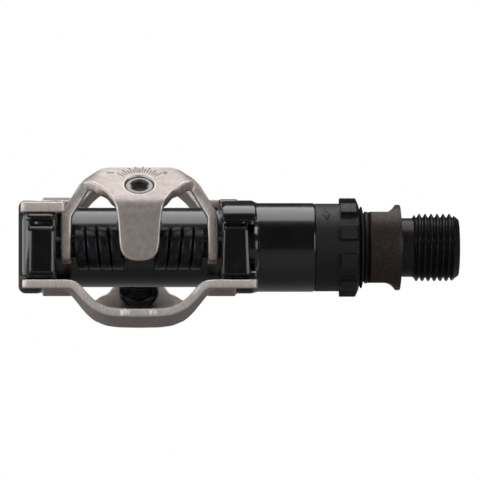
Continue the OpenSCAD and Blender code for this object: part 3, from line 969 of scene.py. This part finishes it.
def tooth_share(angle):
    """1 on a tooth, 0 between teeth; one tooth is centred at the top."""
    step = 360 / TEETH
    offset = (math.degrees(angle) - 90 + step / 2) % step - step / 2
    return float(np.interp(abs(offset), *zip(*TOOTH_PROFILE)))


def tooth_angles():
    """Angles that put enough points on every tooth's flanks."""
    return sorted(math.radians(90 + k * 360 / TEETH + point)
                  for k in range(TEETH) for point in TOOTH_POINTS)


def toothed(low, high):
    return lambda a: low + (high - low) * tooth_share(a)


def on_collar(u, v):
    """The collar's surface; u runs along the spindle, and v round it from the top, away from -Y."""
    angle = math.pi / 2 - v / COLLAR_R
    return Vector((u, COLLAR_R * math.cos(angle), COLLAR_R * math.sin(angle)))


def collar_mark(corners):
    return plate(rounded([(x, y, 0.15) for x, y in corners], 0.3), raised(on_collar, 0.16),
                 under(on_collar, 0.3), r=0.1, step=1.0, arc=2)


def turn_arrow(x, start, end):
    """Arrow round the collar, in place of lettering."""
    mid = end - 2.2 * math.copysign(1, end - start)
    return [collar_mark([(x - 0.28, start), (x + 0.28, start), (x + 0.28, mid), (x - 0.28, mid)]),
            collar_mark([(x - 0.95, mid), (x + 0.95, mid), (x, end)])]


def lock_sleeve():
    shank = [(SLEEVE_LOW.x, 7.2), (SLEEVE_LOW.x, 8.0), (SLEEVE_LOW.x + 0.15, 8.13),
             (BARREL_END - 0.02, 8.13)]
    collar = [(BARREL_END + 0.03, 8.6), (BARREL_END + 0.03, COLLAR_R - 0.25),
              (BARREL_END + 0.1, COLLAR_R - 0.08), (BARREL_END + 0.25, COLLAR_R),
              (SPLINE_X - 0.1, COLLAR_R), (SPLINE_X, COLLAR_R)]
    end = SLEEVE_HIGH.x
    teeth = [(SPLINE_X, toothed(COLLAR_R, SPLINE_R - 0.1)),
             (SPLINE_X + 0.1, toothed(COLLAR_R, SPLINE_R)),
             (end - 0.78, toothed(COLLAR_R, SPLINE_R)),
             (end - 0.68, toothed(COLLAR_R, SPLINE_R - 0.06)),
             (end - 0.3, toothed(COLLAR_R - 0.02, SPLINE_R - 0.85)),
             (end - 0.1, toothed(COLLAR_R - 0.3, SPLINE_R - 1.35)), (end, 8.75)]
    mouth = [(end, 6.75), (end - 0.15, 6.6), (end - 10.6, 6.6), (end - 10.6, 7.2)]
    sleeve = lathe(shank + collar + teeth + mouth, angles=tooth_angles())
    marks = turn_arrow(ARROW_X, -2.6, -8.6) + turn_arrow(ARROW_X, 20.0, 26.0)
    make_piece("lock_sleeve_moulding", [(sleeve, PLASTIC)] + [(m, PLASTIC) for m in marks],
               "pedal_body", ["lock_sleeve"], sharp=30)


# ---------------------------------------------------------------- body casting

BORE_R = 7.2
BULGE = WALL_LEFT - BODY_LOW.x
BULGE_R = (RAIL_Y ** 2 + BULGE ** 2) / (2 * BULGE)
LIP_Z = 9.75
RAIL_SEAT_Z = 8.55
SEAT_GAP = 0.03
INNER_LIP_Z = 10.0
PAD_Y = -31.0
BOSS_R = 4.85
PIN_BORE_R = 2.33


def wall_outline(crown, shrink=0.0):
    """Side view of a wall, with its edges over the bore raised to crown."""
    ledge = LEDGE_Z - shrink
    end = RAIL_Y - shrink
    top = [(-end, ledge, 0.9), (-CROWN_FOOT, ledge, 1.2), (-CROWN_FLAT, crown - shrink, 1.2),
           (CROWN_FLAT, crown - shrink, 1.2), (CROWN_FOOT, ledge, 1.2), (end, ledge, 0.9)]
    return rounded([(x, -z, r) for x, z, r in top] + [(x, z, r) for x, z, r in reversed(top)], 0.6)


def slab(corners, x0, x1, r=0.4, holes=()):
    """Rounded slab across the spindle from corners given as (Y, Z, radius)."""
    return plate(rounded(corners, 0.5), x_plane(x1), x_plane(x0), holes, r=r, step=1.5)


def bulged_face(y, z):
    """Outer face of the outer wall."""
    return Vector((BODY_LOW.x + BULGE_R - math.sqrt(BULGE_R ** 2 - y ** 2), y, z))


def walls():
    bore = circle(0, 0, BORE_R, 64)
    skin = plate(wall_outline(LIP_Z), x_plane(LIP_LEFT), bulged_face, r=1.5, step=2.0, arc=5)
    seat = wall_outline(RAIL_SEAT_Z, SEAT_GAP)
    core = plate(seat, x_plane(OUTER_WALL_X), x_plane(LIP_LEFT - 1.2), [bore], r=0.6, step=2.0)
    web = plate(seat, x_plane(WEB_RIGHT), x_plane(INNER_WALL_X), [bore], r=0.6, step=2.0)
    lips = [(-CROWN_FOOT, -6.4, 1), (-CROWN_FLAT, -LIP_Z, 1.5), (CROWN_FLAT, -LIP_Z, 1.5),
            (CROWN_FOOT, -6.4, 1), (CROWN_FOOT, 6.4, 1), (CROWN_FLAT, LIP_Z, 1.5),
            (-CROWN_FLAT, LIP_Z, 1.5), (-CROWN_FOOT, 6.4, 1)]
    return [skin, core, web, slab(lips, LIP_RIGHT, WALL_RIGHT, 0.7, [bore])]


def ledges():
    """Shelves under the front claws on the crank side, and what stands in place of their rails."""
    shells = []
    for y0, y1 in ((CROWN_FOOT - 1, RAIL_Y), (-RAIL_Y, 1 - CROWN_FOOT)):
        shells.append(slab([(y0, 5.2, 0.4), (y1, 5.2, 0.4), (y1, LEDGE_Z - 0.02, 0.4),
                            (y0, LEDGE_Z - 0.02, 0.4)], WEB_RIGHT - 1, WALL_RIGHT, 0.35))
    inner_lip = slab([(-CROWN_FOOT, 6.4, 1), (-CROWN_FLAT, INNER_LIP_Z, 1.5),
                      (INNER_RAIL_END - 0.2, INNER_LIP_Z, 0.8), (INNER_RAIL_END - 0.2, 8, 0.5)],
                     INNER_WALL_X - 0.6, LIP_RIGHT + 0.6, 0.7)
    return shells + [slope_block(), inner_lip]


def slope_block():
    """Rounded block that ends the inner wall where a front claw has no rail."""
    left = INNER_WALL_X - 0.3
    foot = 4.9
    loops = []
    for y, shrink, top in ((-30.9, 0.6, 5.9), (-30.8, 0.3, 6.15), (-30.5, 0.1, 6.6), (-29.8, 0, 7.3),
                           (-28.8, 0, 8.0), (-27.4, 0, 8.6), (-25.5, 0, 9.05), (-23, 0, 9.3),
                           (-18, 0, 9.45), (-12, 0, 9.6), (-10.5, 0.15, 9.6), (-10, 0.6, 9.6)):
        section = rounded([(left, foot, 0.6), (-32.9, foot, 0.6), (WALL_RIGHT, top - 0.6, 0.5),
                           (WALL_RIGHT - 0.4, top, 0.5), (left, top, 0.9)], count=64)
        loops.append([Vector((p.x, y, p.y)) for p in inset(section, shrink)])
    return loft(loops)


def panel(low, high, slope, corner=0.7, setback=0.0):
    """Raised panel on a wall's end, from (X, X, Z) at its foot and at its top, where it slopes back."""
    bend = high[2] - slope
    loops = []
    for z, back, inwards in ((low[2], 0.8, 0.5), (low[2] + 0.2, 0.35, 0.15), (low[2] + 0.7, 0, 0),
                             (bend - 0.25, 0, 0), (bend, 0.05, 0), (bend + 0.25, 0.18, 0),
                             (high[2] - 0.12, 0.68 * slope, 0.03), (high[2], 0.68 * slope + 0.2, 0.3)):
        share = (z - low[2]) / (high[2] - low[2])
        x0 = low[0] + (high[0] - low[0]) * share + inwards
        x1 = low[1] + (high[1] - low[1]) * share - inwards
        near = PAD_Y + setback + back
        section = rounded([(x0, near, corner), (x1, near, 0.7),
                           (x1, 2 - RAIL_Y, 0.1), (x0, 2 - RAIL_Y, 0.1)], count=48)
        loops.append([Vector((p.x, p.y, z)) for p in section])
    return loft(loops)


def pads():
    """Panels and brows on the near ends of the two walls."""
    outer, inner = OUTER_WALL_X - 0.3, INNER_WALL_X - 0.4
    return [panel((-78.5, outer, -5.9), (-78.3, outer, 4.7), 1.7, 2.2),
            panel((-78.5, outer, 4.9), (-78.5, outer, 6.8), 1.0, 2.2, 0.45),
            panel((inner, -32.4, -6.3), (inner + 0.4, -33.1, 5.1), 1.9),
            panel((inner, -32.8, 5.2), (inner, -32.2, 6.4), 0.9, 0.7, 0.45)]


def pin_boss():
    """Ring round the pivot pin's end on the crank side."""
    end = PIN_END + 0.4
    rings = [(INNER_WALL_X + 0.5, PIN_BORE_R), (INNER_WALL_X + 0.5, BOSS_R), (end - 1.0, BOSS_R),
             (end - 0.45, BOSS_R - 0.15), (end - 0.15, BOSS_R - 0.5), (end, BOSS_R - 0.95),
             (end - 0.05, 3.2), (end - 0.35, 2.7), (end - 0.45, PIN_BORE_R)]
    return lathe(rings, 64, lambda a, c, s: Vector((a, PIVOT.y + c, PIVOT.z + s)))


def barrel():
    inner = [(OUTER_WALL_X - 1, BORE_R), (OUTER_WALL_X - 1, 9.2), (OUTER_WALL_X + 0.2, 9.0),
             (OUTER_WALL_X + 0.8, 8.6), (OUTER_WALL_X + 1.8, MID_BARREL_R),
             (INNER_WALL_X - 1.8, MID_BARREL_R), (INNER_WALL_X - 0.8, 8.6),
             (INNER_WALL_X - 0.2, 9.0), (INNER_WALL_X + 1, 9.2), (INNER_WALL_X + 1, BORE_R)]
    outer = [(WEB_RIGHT - 0.5, BORE_R), (WEB_RIGHT - 0.5, 9.7), (WALL_RIGHT - 0.2, 9.7),
             (WALL_RIGHT + 0.25, 9.62), (WALL_RIGHT + 0.6, 9.48), (WALL_RIGHT + 1.1, BARREL_R),
             (BARREL_END - 0.25, BARREL_R), (BARREL_END - 0.08, BARREL_R - 0.08),
             (BARREL_END, BARREL_R - 0.25), (BARREL_END, 8.2), (BARREL_END - 9.6, 8.2),
             (BARREL_END - 9.6, BORE_R)]
    return [lathe(inner, 96), lathe(outer, 128)]


def body_casting():
    shells = walls() + barrel()
    for shell in ledges() + pads() + [pin_boss()]:
        shells += [shell, half_turn(shell)]
    make_piece("body_casting", [(s, PAINT) for s in shells], "pedal_body",
               ["pedal_body"], sharp=32)


lock_sleeve()
body_casting()


# ---------------------------------------------------------------- CAD nodes that keep their shape

for node, material in (("bearing_tube", GROUND), ("inboard_balls", BRIGHT), ("outboard_balls", BRIGHT),
                       ("cone_nut", GROUND), ("lock_nut", GROUND), ("rear_pivot_pin", PIN_STEEL),
                       ("front_pivot_pin", PIN_STEEL)):
    for slot in frame["nodes"][node].material_slots:
        slot.material = material


# ---------------------------------------------------------------- camera, lights and floor

scene = bpy.context.scene
scene.view_settings.view_transform = "Standard"

CAMERA_AT = Vector((-57.4, -899.6, -9.4))
CAMERA_AIM = Vector((0.02618, 0.9996, 0.0122))
LENS = 318.8
SENSOR = 36
VIEW_DEPTH = 20
WORLD_LIGHT = 0.05
FLOOR_Z = -60
FLOOR_HALF = 700
FLOOR_GREY = 0.28


def camera():
    data = bpy.data.cameras.new("camera")
    data.lens = LENS
    data.sensor_width = SENSOR
    data.clip_end = VIEW_DEPTH
    obj = bpy.data.objects.new("camera", data)
    obj.location = CAMERA_AT * MM
    obj.rotation_euler = CAMERA_AIM.to_track_quat("-Z", "Y").to_euler()
    scene.collection.objects.link(obj)
    scene.camera = obj


def softbox(name, at, aim, size, power):
    """Rectangular light at a place in millimetres, turned towards aim; size is in millimetres."""
    data = bpy.data.lights.new(name, "AREA")
    data.shape = "RECTANGLE"
    data.size = size[0] * MM
    data.size_y = size[1] * MM
    data.energy = power
    obj = bpy.data.objects.new(name, data)
    obj.location = Vector(at) * MM
    obj.rotation_euler = (Vector(aim) - Vector(at)).to_track_quat("-Z", "Y").to_euler()
    obj.visible_camera = False
    scene.collection.objects.link(obj)


def white_to_camera(tree, lit, white, out):
    """Shows the lit shader to every ray except the camera's, which see plain white."""
    rays = tree.nodes.new("ShaderNodeLightPath")
    mix = tree.nodes.new("ShaderNodeMixShader")
    tree.links.new(rays.outputs["Is Camera Ray"], mix.inputs["Fac"])
    tree.links.new(lit, mix.inputs[1])
    tree.links.new(white, mix.inputs[2])
    tree.links.new(mix.outputs["Shader"], out.inputs["Surface"])


def surroundings():
    """World that lights softly from all round."""
    world = bpy.data.worlds.new("studio")
    scene.world = world
    world.use_nodes = True
    nodes = world.node_tree.nodes
    nodes.clear()
    soft_light = nodes.new("ShaderNodeBackground")
    soft_light.inputs["Strength"].default_value = WORLD_LIGHT
    white = nodes.new("ShaderNodeBackground")
    white.inputs["Color"].default_value = (1, 1, 1, 1)
    white_to_camera(world.node_tree, soft_light.outputs["Background"], white.outputs["Background"],
                    nodes.new("ShaderNodeOutputWorld"))


def floor():
    """Pale paper under the pedal."""
    middle = Vector((-45, 0, FLOOR_Z))
    corners = ((-1, -1), (1, -1), (1, 1), (-1, 1))
    verts = [(middle + Vector((FLOOR_HALF * x, FLOOR_HALF * y, 0))) * MM for x, y in corners]
    mesh = bpy.data.meshes.new("paper")
    mesh.from_pydata(verts, [], [(0, 1, 2, 3)])
    mat, bsdf = shader("paper", (FLOOR_GREY, FLOOR_GREY, FLOOR_GREY), 0.0, 0.9)
    add_bump(mat, bsdf, add_noise(mat, 0.5), 0.05, 0.2)
    nodes = mat.node_tree.nodes
    out = next(n for n in nodes if n.type == "OUTPUT_MATERIAL")
    white_to_camera(mat.node_tree, bsdf.outputs["BSDF"],
                    nodes.new("ShaderNodeEmission").outputs["Emission"], out)
    mesh.materials.append(mat)
    obj = bpy.data.objects.new("paper", mesh)
    scene.collection.objects.link(obj)


camera()
surroundings()
floor()
softbox("overhead", (-45, 110, 620), (-45, 0, 0), (700, 660), 3.2)
softbox("far_left", (-560, 60, -60), (-60, 0, 0), (900, 760), 3.2)
softbox("left_side", (-500, -520, 80), (-50, 0, 0), (480, 640), 1.65)
softbox("right_side", (420, -520, 80), (-40, 0, 0), (480, 640), 1.65)
